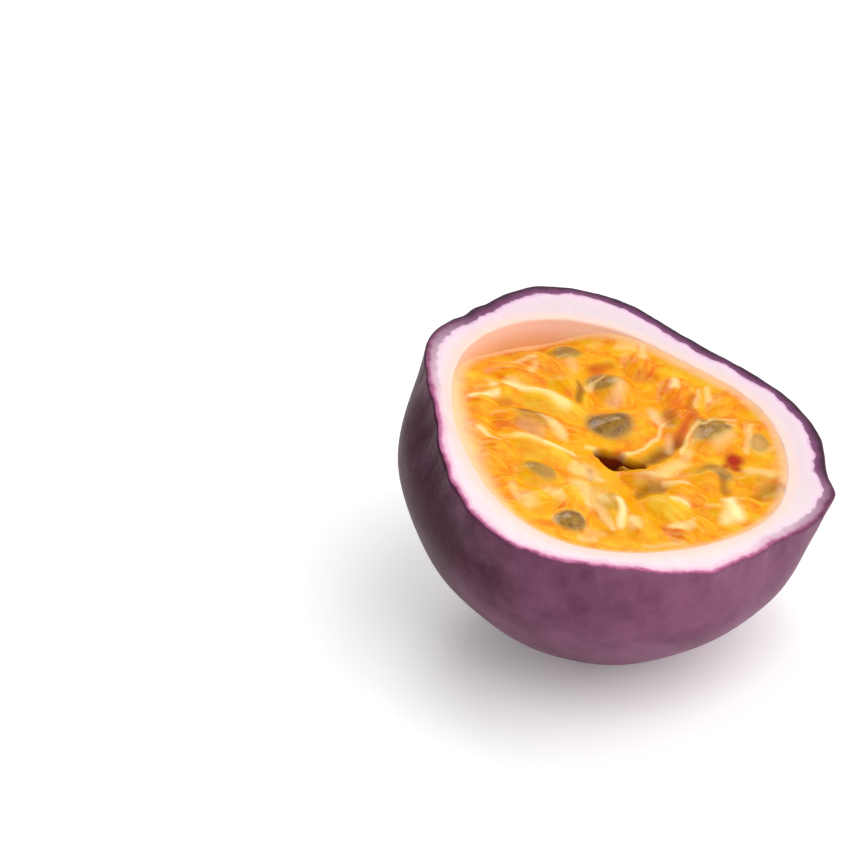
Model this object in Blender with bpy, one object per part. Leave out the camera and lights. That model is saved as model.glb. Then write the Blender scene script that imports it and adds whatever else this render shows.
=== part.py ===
"""Half of a purple passion fruit, cut side up: a thick rind bowl and the pulp that fills it.

Sizes are in millimetres, and one matrix turns them into metres. Points are worked out on the cut
face, which has x to the right, y away and z up out of the fruit, with its origin over the fruit's
middle. The half leans, so that the face looks forward and to the right, and it stands on a small
flat spot at the world's origin.
"""

import math

import bmesh
import bpy
import numpy as np
from mathutils import Matrix, Vector
from mathutils.noise import noise

METRES_PER_MM = 0.001

# Whole fruit and how it lies
FRUIT_RADIUS = 27.5
CUT_ABOVE_MIDDLE = 1.0
LEAN_FORWARD = 8.0
LEAN_RIGHT = 14.0
REST_SPOT_RADIUS = 6.0

# Cut edge of the skin: degrees round the face from its right side, and radius
RIM_CORNERS = (
    (5, 27.9), (20, 28.8), (35, 28.0), (44, 26.6), (60, 25.3), (74, 25.9), (86, 28.2),
    (100, 29.3), (112, 29.6), (127, 27.8), (139, 27.1), (151, 27.9), (163, 25.8), (180, 23.5),
    (190, 23.1), (205, 24.4), (222, 26.4), (236, 27.6), (251, 27.0), (266, 25.0), (280, 24.2),
    (300, 25.1), (313, 24.5), (328, 25.0), (345, 27.5), (356, 29.0),
)
RIM_ROUNDING = 2.5
RIM_BROAD_ROUNDING = 22.0
CORNER_FADE_DEPTH = 7.0
BROAD_FADE_DEPTH = 11.0
BODY_SHIFT = 0.5
EDGE_ROUND = 0.45
SKIN_DENT_SIZE = 11.0
SKIN_DENT_DEPTH = 0.35

# Hollow inside the rind, rounded three-sided like the fruit's three seed walls
CAVITY_CORNERS = (
    (0, 22.5), (31, 23.1), (64, 19.9), (90, 21.9), (109, 23.1), (146, 23.0),
    (178, 20.8), (204, 20.5), (246, 23.0), (287, 20.2), (312, 20.1), (341, 22.1),
)
CAVITY_ROUNDING = 9.0
CAVITY_DEPTH = 24.0
CAVITY_LIP = 0.35
PIECE_GAP = 0.3

# Bed of pulp: its level below the cut, at the rind and in the middle
EDGE_LEVEL = 0.6
MIDDLE_LEVEL = 2.1
LEVEL_POWER = 4
SUNK_LEVEL = 5.0
SUNK_POWER = 6
SUNK_TOWARDS = 118.0
SUNK_SPREAD_LEFT = 24.0
SUNK_SPREAD_RIGHT = 13.0
BED_RIPPLE = 0.25
BED_RIPPLE_SIZE = 4.0
HEART_X = 0.0
HEART_Y = -0.9
HEART_RADIUS = 3.2
HEART_DEPTH = 4.5

# Juice sacs: x, y, heading of the tip in degrees, length, width
SACS = (
    (1.8, 5.0, -160, 12.0, 8.0), (0.7, 11.4, -55, 7.6, 7.0), (-5.0, 16.8, 15, 9.5, 8.8),
    (13.7, 6.3, -136, 12.0, 7.8), (18.8, 7.8, -100, 9.5, 6.4), (18.6, -1.0, -170, 8.0, 7.6),
    (12.5, -2.1, -172, 8.5, 6.5), (-4.8, -15.4, 80, 9.5, 7.6), (-8.9, -8.4, -10, 9.0, 6.2),
    (-9.7, -3.3, -6, 13.5, 6.4), (-8.1, 6.2, -6, 11.0, 5.6), (-10.8, 1.6, 5, 14.0, 6.2),
    (-14.2, 6.0, 2, 9.5, 5.5), (-11.6, 10.8, 0, 10.5, 5.4), (-5.4, 9.8, -40, 8.0, 5.6),
    (-15.2, -8.0, -20, 7.0, 6.0), (-9.4, -13.4, 34, 8.0, 6.5), (0.0, -11.0, 108, 12.0, 7.5),
    (8.7, -5.8, 173, 9.0, 5.8), (7.3, -9.4, 147, 10.0, 7.0), (3.7, -14.2, 123, 8.4, 6.6),
    (14.2, -8.2, 160, 8.4, 6.6), (3.6, 16.8, -104, 8.4, 7.4), (8.6, 13.2, -114, 9.0, 7.0),
    (14.6, 12.4, -132, 9.4, 7.0), (9.2, 7.6, -125, 8.8, 6.5), (9.0, -15.0, 140, 7.0, 5.6),
    (-17.2, -2.2, -8, 6.5, 5.4), (-8.8, 14.4, -20, 8.0, 5.2), (-16.8, 3.0, -5, 6.5, 4.8),
    (-14.6, -5.2, -10, 6.5, 5.0), (-5.8, -11.4, 60, 7.5, 5.6), (11.2, -11.6, 140, 7.0, 5.6),
    (-13.4, -11.6, 30, 6.5, 5.4), (4.4, -5.2, 160, 6.0, 4.6), (17.4, -5.8, 165, 6.5, 5.4),
)
SAC_PLUMPNESS = 1.06
SAC_EDGE_LEVEL = 0.6
SAC_TOP_LEVEL = 0.0
SAC_HEIGHT_SHARE = 0.75
SAC_TIP_SHARE = 0.6
SAC_WALL_CLEARANCE = 0.6
SAC_SEGMENTS = 12
SAC_RINGS = 8

# Look of the two materials: linear colour and roughness
RIND_COLOUR = (0.18, 0.042, 0.107)
RIND_ROUGHNESS = 0.45
PULP_COLOUR = (1.0, 0.42, 0.01)
PULP_ROUGHNESS = 0.2

# Fineness of the turned surfaces
SHELL_SEGMENTS = 80
SKIN_RINGS = 15
CAVITY_RINGS = 8
BED_SEGMENTS = 60
BED_SIDE_RINGS = 7
BED_TOP_RINGS = 7
POLE_SHARE = 0.04
SMOOTH_ANGLE = math.radians(50)
ROUNDING_REACH = 3.0


def rounded_outline(corners, rounding):
    """Radius at each whole degree round the cut, with its corners rounded over some degrees."""
    degrees, radii = zip(*corners)
    table = np.interp(np.arange(360), degrees, radii, period=360)
    most = math.floor(ROUNDING_REACH * rounding)
    reach = np.arange(-most, most + 1)
    weights = np.exp(-0.5 * (reach / rounding) ** 2)
    return sum(w * np.roll(table, r) for w, r in zip(weights, reach)) / weights.sum()


RIM = rounded_outline(RIM_CORNERS, RIM_ROUNDING)
RIM_BROAD = rounded_outline(RIM_CORNERS, RIM_BROAD_ROUNDING)
CAVITY = rounded_outline(CAVITY_CORNERS, CAVITY_ROUNDING)


def radius_at(outline, angle):
    return float(np.interp(math.degrees(angle), np.arange(360), outline, period=360))


def fade(distance, reach):
    """1 at no distance, falling smoothly to 0 at the reach."""
    share = min(max(distance / reach, 0.0), 1.0)
    return 1.0 - share * share * (3.0 - 2.0 * share)


def face_point(angle, radius, depth):
    return Vector((radius * math.cos(angle), radius * math.sin(angle), -depth))


def skin_point(angle, latitude):
    """Point of the skin, by its angle round the fruit and its angle below the fruit's middle."""
    radius = FRUIT_RADIUS * math.cos(latitude)
    depth = CUT_ABOVE_MIDDLE + FRUIT_RADIUS * math.sin(latitude)
    broad = radius_at(RIM_BROAD, angle)
    corners = (radius_at(RIM, angle) - broad) * fade(depth, CORNER_FADE_DEPTH)
    leaning_in = (broad - FRUIT_RADIUS) * fade(depth, BROAD_FADE_DEPTH)
    radius *= 1.0 + (leaning_in + corners) / FRUIT_RADIUS
    point = face_point(angle, radius, depth)
    point.x += BODY_SHIFT * (1.0 - fade(depth, BROAD_FADE_DEPTH))
    dent = noise(point / SKIN_DENT_SIZE) * (1.0 - fade(depth, CORNER_FADE_DEPTH))
    return point * (1.0 + SKIN_DENT_DEPTH * dent / FRUIT_RADIUS)


def cavity_radius(angle, depth):
    return radius_at(CAVITY, angle) * math.sqrt(max(1.0 - (depth / CAVITY_DEPTH) ** 2, 0.0))


def cavity_point(angle, latitude, inset):
    """Point of the hollow's wall, moved towards the middle by the inset."""
    radius = (radius_at(CAVITY, angle) - inset) * math.cos(latitude)
    return face_point(angle, radius, (CAVITY_DEPTH - inset) * math.sin(latitude))


def sunk(angle):
    """How far the pulp lies lower on the one side where the rind's lining shows."""
    away = (math.degrees(angle) - SUNK_TOWARDS + 180) % 360 - 180
    spread = SUNK_SPREAD_LEFT if away > 0 else SUNK_SPREAD_RIGHT
    return SUNK_LEVEL * math.exp(-0.5 * (away / spread) ** 2)


def pulp_level(x, y, edge=EDGE_LEVEL, middle=MIDDLE_LEVEL):
    """Depth of a surface of the pulp that has one level at the rind and one in the middle."""
    angle = math.atan2(y, x)
    share = math.hypot(x, y) / radius_at(CAVITY, angle)
    return middle + (edge - middle) * share ** LEVEL_POWER + sunk(angle) * share ** SUNK_POWER


def bed_point(angle, share):
    """Point of the bed's top, by its share of the way from the middle to the rind."""
    radius = share * (cavity_radius(angle, EDGE_LEVEL + sunk(angle)) - PIECE_GAP)
    x, y = radius * math.cos(angle), radius * math.sin(angle)
    depth = pulp_level(x, y)
    depth += HEART_DEPTH * fade(math.hypot(x - HEART_X, y - HEART_Y), HEART_RADIUS)
    ripple = noise(Vector((x, y, 0)) / BED_RIPPLE_SIZE) * fade(share, 1.0)
    return face_point(angle, radius, depth + BED_RIPPLE * ripple)


def turned_surface(rings, segments):
    """Closed mesh through a list of rings, from the pole before the first to that after the last."""
    bm = bmesh.new()
    angles = bm.verts.layers.float.new("angle")
    bmesh.ops.create_circle(bm, segments=segments, radius=1.0, cap_ends=True, cap_tris=True)
    verts = [v for v in bm.verts if v.is_boundary]
    centre = next(v for v in bm.verts if not v.is_boundary)
    for vert in verts:
        vert[angles] = math.atan2(vert.co.y, vert.co.x)
    place_ring(verts, angles, rings[0])
    centre.co = middle_of(verts)
    edges = [e for e in bm.edges if e.is_boundary]
    for ring in rings[1:]:
        made = bmesh.ops.extrude_edge_only(bm, edges=edges)["geom"]
        verts = [g for g in made if isinstance(g, bmesh.types.BMVert)]
        edges = [g for g in made if isinstance(g, bmesh.types.BMEdge)]
        edges = [e for e in edges if e.is_boundary]
        place_ring(verts, angles, ring)
    made = bmesh.ops.extrude_edge_only(bm, edges=edges)["geom"]
    verts = [g for g in made if isinstance(g, bmesh.types.BMVert)]
    bmesh.ops.pointmerge(bm, verts=verts, merge_co=middle_of(verts))
    bmesh.ops.recalc_face_normals(bm, faces=bm.faces)
    return bm


def place_ring(verts, angles, ring):
    """Moves each point of a ring to where the ring's rule puts its own angle round the face."""
    for vert in verts:
        vert.co = ring(vert[angles])


def middle_of(verts):
    return sum((v.co for v in verts), Vector()) / len(verts)


def between(start, end, count):
    return [start + (end - start) * i / (count - 1) for i in range(count)]


def shell_rings():
    """Rings of the rind, from under the fruit, over the cut edge and down into the hollow."""
    pole = math.radians(90) * (1.0 - POLE_SHARE)
    cut = -math.asin((CUT_ABOVE_MIDDLE - EDGE_ROUND) / FRUIT_RADIUS)
    rings = [lambda a, t=t: skin_point(a, t) for t in between(pole, cut, SKIN_RINGS)]
    rings.append(lambda a: face_point(a, radius_at(RIM, a) - EDGE_ROUND, 0.0))
    rings.append(lambda a: face_point(a, radius_at(CAVITY, a) + CAVITY_LIP, 0.0))
    lip = math.asin(CAVITY_LIP / CAVITY_DEPTH)
    rings += [lambda a, t=t: cavity_point(a, t, 0.0) for t in between(lip, pole, CAVITY_RINGS)]
    return rings


def bed_rings():
    """Rings of the pulp's bed, from under it up along the rind and over its top to the middle."""
    pole = math.radians(90) * (1.0 - POLE_SHARE)

    def side(angle, share):
        edge = math.asin((EDGE_LEVEL + sunk(angle)) / CAVITY_DEPTH)
        return cavity_point(angle, pole + (edge - pole) * share, PIECE_GAP)

    rings = [lambda a, s=s: side(a, s) for s in between(0.0, 1.0, BED_SIDE_RINGS)[:-1]]
    rings += [lambda a, s=s: bed_point(a, s) for s in between(1.0, POLE_SHARE, BED_TOP_RINGS)]
    return rings


def sac_mesh(x, y, heading, length, width):
    """One juice sac: a lying drop, broad at its seed end, its tip mostly towards the heart."""
    bm = bmesh.new()
    bmesh.ops.create_uvsphere(bm, u_segments=SAC_SEGMENTS, v_segments=SAC_RINGS, radius=1.0)
    on_side = Matrix.Rotation(math.radians(90), 3, "Y")
    bmesh.ops.rotate(bm, verts=bm.verts, cent=(0, 0, 0), matrix=on_side)
    height = width * SAC_HEIGHT_SHARE
    for vert in bm.verts:
        towards_tip = (vert.co.x + 1.0) / 2.0
        taper = 1.0 - (1.0 - SAC_TIP_SHARE) * towards_tip ** 2
        vert.co.y *= taper
        vert.co.z *= taper
    level = pulp_level(x, y, SAC_EDGE_LEVEL, SAC_TOP_LEVEL) + height / 2
    bmesh.ops.scale(bm, verts=bm.verts, vec=(length / 2, width * SAC_PLUMPNESS / 2, height / 2))
    turned = Matrix.Rotation(math.radians(heading), 3, "Z")
    bmesh.ops.rotate(bm, verts=bm.verts, cent=(0, 0, 0), matrix=turned)
    bmesh.ops.translate(bm, verts=bm.verts, vec=(x, y, -level))
    keep_inside_rind(bm.verts)
    return bm


def keep_inside_rind(verts):
    for vert in verts:
        angle = math.atan2(vert.co.y, vert.co.x)
        reach = math.hypot(vert.co.x, vert.co.y)
        most = cavity_radius(angle, max(-vert.co.z, 0.0)) - SAC_WALL_CLEARANCE
        if reach > most:
            vert.co.x *= most / reach
            vert.co.y *= most / reach


def face_to_world():
    """Matrix from the cut face's millimetres to the world's metres."""
    rest_height = math.sqrt(FRUIT_RADIUS ** 2 - REST_SPOT_RADIUS ** 2)
    forward = Matrix.Rotation(math.radians(LEAN_FORWARD), 4, "X")
    right = Matrix.Rotation(math.radians(LEAN_RIGHT), 4, "Y")
    middle = Matrix.Translation((0, 0, rest_height))
    face = Matrix.Translation((0, 0, CUT_ABOVE_MIDDLE))
    return Matrix.Scale(METRES_PER_MM, 4) @ middle @ right @ forward @ face


def add_object(name, bm, material, collection):
    """Object made from a mesh on the cut face, placed in the world."""
    bmesh.ops.transform(bm, verts=bm.verts, matrix=face_to_world())
    mesh = bpy.data.meshes.new(name)
    bm.to_mesh(mesh)
    bm.free()
    mesh.materials.append(material)
    obj = bpy.data.objects.new(name, mesh)
    collection.objects.link(obj)
    return obj


def add_material(name, colour, roughness):
    material = bpy.data.materials.new(name)
    material.use_nodes = True
    shader = material.node_tree.nodes["Principled BSDF"]
    shader.inputs["Base Color"].default_value = (*colour, 1.0)
    shader.inputs["Roughness"].default_value = roughness
    shader.inputs["Metallic"].default_value = 0.0
    return material


def shade(obj):
    """Shades the object smooth, but for edges as sharp as the cut's."""
    obj.data.shade_smooth()
    obj.data.set_sharp_from_angle(angle=SMOOTH_ANGLE)


def cut_rest_spot(bm):
    """Flat spot under the fruit, on the world's floor."""
    geometry = bm.verts[:] + bm.edges[:] + bm.faces[:]
    floor = {"plane_co": (0, 0, 0), "plane_no": (0, 0, -1)}
    cut = bmesh.ops.bisect_plane(bm, geom=geometry, clear_outer=True, **floor)
    edges = [g for g in cut["geom_cut"] if isinstance(g, bmesh.types.BMEdge)]
    bmesh.ops.holes_fill(bm, edges=edges)
    bmesh.ops.recalc_face_normals(bm, faces=bm.faces)


def make_shell():
    material = add_material("purple_rind", RIND_COLOUR, RIND_ROUGHNESS)
    bm = turned_surface(shell_rings(), SHELL_SEGMENTS)
    shell = add_object("shell", bm, material, bpy.context.scene.collection)
    bm = bmesh.new()
    bm.from_mesh(shell.data)
    cut_rest_spot(bm)
    bm.to_mesh(shell.data)
    bm.free()
    shade(shell)


def make_pulp():
    material = add_material("orange_pulp", PULP_COLOUR, PULP_ROUGHNESS)
    scene = bpy.context.scene
    sacs = bpy.data.collections.new("sacs")
    scene.collection.children.link(sacs)
    pulp = add_object("pulp", turned_surface(bed_rings(), BED_SEGMENTS), material, scene.collection)
    for number, sac in enumerate(SACS):
        add_object(f"sac_{number:02d}", sac_mesh(*sac), material, sacs)
    union = pulp.modifiers.new("fuse_sacs", "BOOLEAN")
    union.operation = "UNION"
    union.solver = "EXACT"
    union.operand_type = "COLLECTION"
    union.collection = sacs
    bpy.context.view_layer.update()
    evaluated = pulp.evaluated_get(bpy.context.evaluated_depsgraph_get())
    fused = bpy.data.meshes.new_from_object(evaluated)
    pulp.modifiers.remove(union)
    pulp.data = fused
    for obj in list(sacs.objects):
        bpy.data.objects.remove(obj)
    bpy.data.collections.remove(sacs)
    keep_outer_body(pulp.data)
    shade(pulp)


def keep_outer_body(mesh):
    """Keeps the largest closed surface: a sealed hollow is filled and a loose scrap dropped."""
    bm = bmesh.new()
    bm.from_mesh(mesh)
    left = set(bm.verts)
    bodies = []
    while left:
        start = left.pop()
        body = {start}
        edge_of_body = [start]
        while edge_of_body:
            vert = edge_of_body.pop()
            for edge in vert.link_edges:
                other = edge.other_vert(vert)
                if other in left:
                    left.remove(other)
                    body.add(other)
                    edge_of_body.append(other)
        bodies.append(body)
    largest = max(bodies, key=len)
    bmesh.ops.delete(bm, geom=[v for v in bm.verts if v not in largest], context="VERTS")
    bm.to_mesh(mesh)
    bm.free()


def main():
    for obj in list(bpy.data.objects):
        bpy.data.objects.remove(obj)
    make_shell()
    make_pulp()


main()
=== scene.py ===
"""Half of a purple passion fruit, cut side up, with the finish of its rind, pulp and seeds.

Shapes are worked out in millimetres on the cut face, which has x to the right, y away and z up out
of the fruit, with its origin over the fruit's middle. One matrix leans the face as the fruit lies
and turns it into the frame's metres.
"""

import math
import random

import bmesh
import bpy
import numpy as np
from bpy.props import FloatProperty, FloatVectorProperty, PointerProperty
from mathutils import Euler, Matrix, Vector
from mathutils.noise import noise


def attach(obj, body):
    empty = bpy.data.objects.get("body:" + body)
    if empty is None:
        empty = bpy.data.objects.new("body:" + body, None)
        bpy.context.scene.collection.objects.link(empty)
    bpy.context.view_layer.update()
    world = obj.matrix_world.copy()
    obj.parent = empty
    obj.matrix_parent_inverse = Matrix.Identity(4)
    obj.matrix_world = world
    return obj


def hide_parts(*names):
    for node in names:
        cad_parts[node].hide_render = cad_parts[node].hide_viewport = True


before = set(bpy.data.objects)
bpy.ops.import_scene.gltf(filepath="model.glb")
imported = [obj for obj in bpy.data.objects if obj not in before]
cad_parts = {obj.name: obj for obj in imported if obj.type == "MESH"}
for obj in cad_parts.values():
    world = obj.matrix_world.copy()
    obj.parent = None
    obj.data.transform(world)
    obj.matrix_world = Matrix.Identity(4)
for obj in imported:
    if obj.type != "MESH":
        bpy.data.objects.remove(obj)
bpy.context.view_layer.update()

bl_info = {
    "name": "Passion fruit half",
    "version": (1, 0, 0),
    "blender": (4, 5, 0),
    "location": "3D View > Sidebar > Fruit",
    "description": "Makes the rind, pulp, juice sacs and seeds of half a passion fruit",
    "category": "Add Mesh",
}

# Metres in a millimetre
MM = 0.001

# Whole fruit and how it lies
FRUIT_RADIUS = 27.5
CUT_ABOVE_MIDDLE = 1.0
LEAN_FORWARD = 8.0
LEAN_RIGHT = 14.0
REST_SPOT_RADIUS = 6.0

# Cut edge of the skin: degrees round the face from its right side, and radius
RIM_CORNERS = (
    (5, 27.9), (20, 28.8), (35, 28), (44, 26.6), (60, 25.3), (74, 25.9), (86, 28.2),
    (100, 29.3), (112, 29.6), (127, 27.8), (139, 27.1), (151, 27.9), (163, 25.8), (180, 23.5),
    (190, 23.1), (205, 24.4), (222, 26.4), (236, 27.6), (251, 27), (266, 25), (280, 24.2),
    (300, 25.1), (313, 24.5), (328, 25), (345, 27.5), (356, 29),
)
RIM_ROUNDING = 2.5
RIM_BROAD_ROUNDING = 22.0
RIM_RIPPLE = 0.3
RIM_RIPPLE_SIZE = 2.8
CORNER_FADE_DEPTH = 7.0
BROAD_FADE_DEPTH = 11.0
BODY_SHIFT = 0.5
EDGE_ROUND = 0.45
SKIN_DENT_SIZE = 11.0
SKIN_DENT_DEPTH = 0.35

# Hollow inside the rind, rounded three-sided like the fruit's three seed walls
CAVITY_CORNERS = (
    (0, 22.5), (31, 23.1), (64, 19.9), (90, 21.9), (109, 23.1), (146, 23),
    (178, 20.8), (204, 20.5), (246, 23), (287, 20.2), (312, 20.1), (341, 22.1),
)
CAVITY_ROUNDING = 9.0
CAVITY_DEPTH = 24.0
CAVITY_LIP = 0.35

# Level of the juice below the cut, at the rind and in the middle
EDGE_LEVEL = 0.6
MIDDLE_LEVEL = 2.1
SUNK_LEVEL = 5.0
SUNK_TOWARDS = 118.0
SUNK_SPREAD_LEFT = 24.0
SUNK_SPREAD_RIGHT = 13.0
HEART_DEPTH = 4.5

# Juice sacs: x, y, heading of the tip in degrees, length, width, and tone from pale 0 to deep 1
SACS = (
    (1.8, 5, -160, 12, 8, 0.55), (0.7, 11.4, -55, 7.6, 7, 0.6),
    (-5, 16.8, 15, 9.5, 8.8, 0.45), (13.7, 6.3, -136, 12, 7.8, 0.45),
    (18.8, 7.8, -100, 9.5, 6.4, 0.7), (18.6, -1, -170, 8, 7.6, 0.4),
    (12.5, -2.1, -172, 8.5, 6.5, 0.5), (-4.8, -15.4, 80, 9.5, 7.6, 0.5),
    (-8.9, -8.4, -10, 9, 6.2, 0.45), (-9.7, -3.3, -6, 13.5, 6.4, 0.3),
    (-8.1, 6.2, -6, 11, 5.6, 0.1), (-10.8, 1.6, 5, 14, 6.2, 0.75),
    (-14.2, 6, 2, 9.5, 5.5, 0.5), (-11.6, 10.8, 0, 10.5, 5.4, 0.7),
    (-5.4, 9.8, -40, 8, 5.6, 0.4), (-15.2, -8, -20, 7, 6, 0.6),
    (-9.4, -13.4, 34, 8, 6.5, 0.2), (0, -11, 108, 12, 7.5, 0.35),
    (8.7, -5.8, 173, 9, 5.8, 0.7), (7.3, -9.4, 147, 10, 7, 0.15),
    (3.7, -14.2, 123, 8.4, 6.6, 0.45), (14.2, -8.2, 160, 8.4, 6.6, 0.35),
    (3.6, 16.8, -104, 8.4, 7.4, 0.9), (8.6, 13.2, -114, 9, 7, 0.8),
    (14.6, 12.4, -132, 9.4, 7, 0.7), (9.2, 7.6, -125, 8.8, 6.5, 0.95),
    (9, -15, 140, 7, 5.6, 0.75), (-17.2, -2.2, -8, 6.5, 5.4, 0.7),
    (-8.8, 14.4, -20, 8, 5.2, 0.8), (-16.8, 3, -5, 6.5, 4.8, 0.5),
    (-14.6, -5.2, -10, 6.5, 5, 0.6), (-5.8, -11.4, 60, 7.5, 5.6, 0.3),
    (11.2, -11.6, 140, 7, 5.6, 0.4), (-13.4, -11.6, 30, 6.5, 5.4, 0.6),
    (4.4, -5.2, 160, 6, 4.6, 0.7), (17.4, -5.8, 165, 6.5, 5.4, 0.45),
)
SAC_PLUMPNESS = 1.06
SAC_EDGE_LEVEL = 0.6
SAC_TOP_LEVEL = 0.0
SAC_HEIGHT_SHARE = 0.75
SAC_TIP_SHARE = 0.6

# Seeds that show: x, y, heading in degrees, length, width, least jelly over them, its clearness
SEEDS = (
    (-0.4, 4.3, 175, 6.2, 4.6, 0.3, 0.95), (-1, 12.5, 15, 5, 4, 0.4, 0.75),
    (-5.9, 17.2, 25, 3.8, 3.2, 0.45, 0.6), (13, 7.2, 46, 6.2, 4.4, 0.35, 0.85),
    (19.2, 6.2, 100, 3, 2.6, 0.5, 0.65), (13.8, -0.6, -35, 4.6, 3.8, 0.5, 0.6),
    (-5.3, -16.4, 160, 4.2, 3.4, 0.3, 0.9), (-9.3, -8, -30, 4.6, 3.2, 0.45, 0.65),
    (-10.4, 2, -8, 5.4, 3.6, 0.7, 0.35), (0.1, -11.6, -20, 4, 3.2, 0.7, 0.35),
    (20.2, -1, 80, 4.6, 3.6, 0.8, 0.2), (5.4, -5.6, -10, 4.8, 3.4, 0.7, 0.2),
)

# Photograph's camera: elevation in degrees, metres away, and image places in pixels
VIEW_ELEVATION = 32.0
VIEW_DISTANCE = 0.6
PIXELS_PER_MM = 219.5 / 27.5
IMAGE_SIZE = 850
FACE_PIXEL = (615.0, 438.0)

# Strokes on the pulp: x and y of both ends in image pixels, width in millimetres, and strength
# Pale strokes: scraps of membrane and painted wet highlights
MEMBRANE_AND_GLINT_STROKES = (
    (511, 381, 536, 388, 1.8, 0.9), (536, 388, 562, 402, 1.8, 0.7),
    (471, 394, 497, 393, 0.8, 0.9), (492, 376, 493, 386, 1, 0.6),
    (505, 353, 533, 353, 0.6, 0.5), (535, 357, 534, 370, 1, 0.4),
    (545, 417, 563, 430, 1.5, 0.6), (518, 434, 538, 441, 1.4, 0.5),
    (545, 444, 573, 449, 1.2, 0.8), (479, 429, 499, 440, 0.7, 0.7),
    (588, 388, 595, 378, 0.7, 0.5), (595, 378, 608, 372, 0.7, 0.5),
    (577, 462, 603, 474, 1.5, 0.5), (580, 478, 600, 500, 2.4, 0.5),
    (575, 475, 590, 497, 0.7, 0.5), (590, 497, 614, 524, 0.7, 0.6),
    (621, 503, 622, 522, 1.1, 0.9), (633, 519, 635, 526, 1.4, 0.6),
    (512, 486, 530, 504, 1.3, 0.4), (548, 488, 560, 498, 1.2, 0.5),
    (583, 537, 597, 537, 1, 0.4), (642, 349, 643, 357, 1.1, 0.5),
    (618, 345, 632, 347, 1, 0.4), (674, 380, 674, 387, 1.1, 0.8),
    (590, 441, 608, 446, 0.7, 0.5), (608, 446, 629, 448, 0.7, 0.6),
    (629, 448, 646, 444, 0.55, 0.6), (646, 444, 658, 434, 0.55, 0.6),
    (658, 434, 665, 420, 0.55, 0.5), (697, 388, 699, 402, 0.7, 0.4),
    (708, 390, 709, 398, 1, 0.5), (684, 448, 690, 433, 0.6, 0.6),
    (690, 433, 700, 422, 0.55, 0.6), (700, 422, 715, 417, 0.55, 0.5),
    (715, 417, 735, 418, 0.5, 0.4), (654, 476, 683, 458, 1.8, 0.5),
    (683, 458, 690, 446, 1.2, 0.4), (665, 484, 686, 486, 1, 0.5),
    (674, 500, 686, 502, 1.1, 0.8), (676, 524, 690, 525, 1.3, 0.7),
    (730, 498, 733, 506, 1.5, 1), (733, 506, 735, 516, 2.2, 1),
    (727, 518, 735, 516, 1.6, 0.8), (752, 470, 770, 474, 1.6, 0.5),
    (750, 425, 748, 450, 0.8, 0.4), (646, 545, 683, 544, 1, 0.3),
)
# Pink strokes: pinkish tints in the jelly, and the first two are painted pinkish highlights on the
# sacs
PINK_TINT_AND_GLINT_STROKES = (
    (656, 407, 657, 417, 1.6, 0.9), (619, 384, 617, 397, 1.8, 0.7),
    (571, 357, 575, 361, 1.5, 0.5), (523, 424, 542, 430, 1.2, 0.5),
    (540, 414, 560, 424, 1, 0.4), (716, 442, 729, 436, 1.5, 0.6),
    (727, 424, 733, 424, 0.9, 0.6), (757, 441, 760, 446, 2, 0.4),
    (671, 434, 673, 442, 1.1, 0.6), (527, 490, 533, 502, 1.5, 0.4),
    (640, 478, 662, 470, 1.3, 0.4), (588, 461, 601, 466, 1.1, 0.5),
    (590, 530, 602, 531, 1.2, 0.4), (700, 428, 694, 440, 0.9, 0.3),
)
# Brown strokes: painted shade under the rims of sacs and in the deepest creases, with a little
# olive over seeds
PAINTED_SHADE_STROKES = (
    (556, 346, 577, 345, 1.6, 0.4), (581, 384, 580, 395, 1.1, 0.8),
    (523, 409, 546, 417, 1.1, 0.75), (517, 421, 543, 434, 1, 0.4),
    (628, 460, 655, 453, 1.4, 0.8), (655, 453, 680, 436, 1.4, 0.9),
    (669, 408, 673, 422, 1.4, 0.5), (642, 488, 660, 486, 1.3, 0.6),
    (757, 496, 778, 490, 1.8, 0.5), (591, 465, 592, 471, 0.9, 0.6),
    (698, 470, 716, 462, 1.3, 0.4), (722, 478, 726, 486, 1.2, 0.6),
)
RED_STROKES = (
    (596, 364, 610, 360, 1.6, 0.5), (640, 374, 655, 375, 1.4, 0.3),
    (694, 394, 692, 418, 1.5, 0.5), (690, 420, 680, 434, 1.1, 0.5),
    (733, 454, 738, 458, 1.7, 1), (736, 457, 739, 464, 1.5, 0.9),
    (730, 460, 734, 457, 1, 0.8), (500, 400, 508, 400, 1.2, 0.4),
    (668, 524, 678, 535, 1.3, 0.2), (604, 527, 612, 529, 1.2, 0.3),
)
# The gap at the heart: a real dip in the pulp, painted dark maroon as shade
HEART_STROKES = (
    (602, 451, 620, 454, 1.3, 1), (609, 456, 617, 462, 1.4, 1),
    (620, 455, 642, 462, 0.9, 0.7),
)
STROKE_DEPTH = 0.9
HEART_RIM_DEPTH = 1.6

# Kinds of stroke: depth of the pulp under them, softness of their edge, and how torn they are
STROKE_KINDS = {
    "pale": (MEMBRANE_AND_GLINT_STROKES, STROKE_DEPTH, 0.8, 1.0),
    "pink": (PINK_TINT_AND_GLINT_STROKES, STROKE_DEPTH, 1.0, 1.0),
    "brown": (PAINTED_SHADE_STROKES, STROKE_DEPTH, 1.0, 1.0),
    "red": (RED_STROKES, STROKE_DEPTH, 0.75, 1.0),
    "heart": (HEART_STROKES, HEART_RIM_DEPTH, 0.9, 0.5),
}


def linear(hex_colour):
    """Linear red, green and blue of an sRGB colour written as #RRGGBB."""
    channels = [int(hex_colour[i:i + 2], 16) / 255 for i in (1, 3, 5)]
    return tuple(c / 12.92 if c <= 0.04045 else ((c + 0.055) / 1.055) ** 2.4 for c in channels)


def colour_prop(name, description, hex_colour):
    return FloatVectorProperty(
        name=name, description=description, default=linear(hex_colour), size=3,
        subtype="COLOR", min=0.0, max=1.0,
    )


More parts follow.
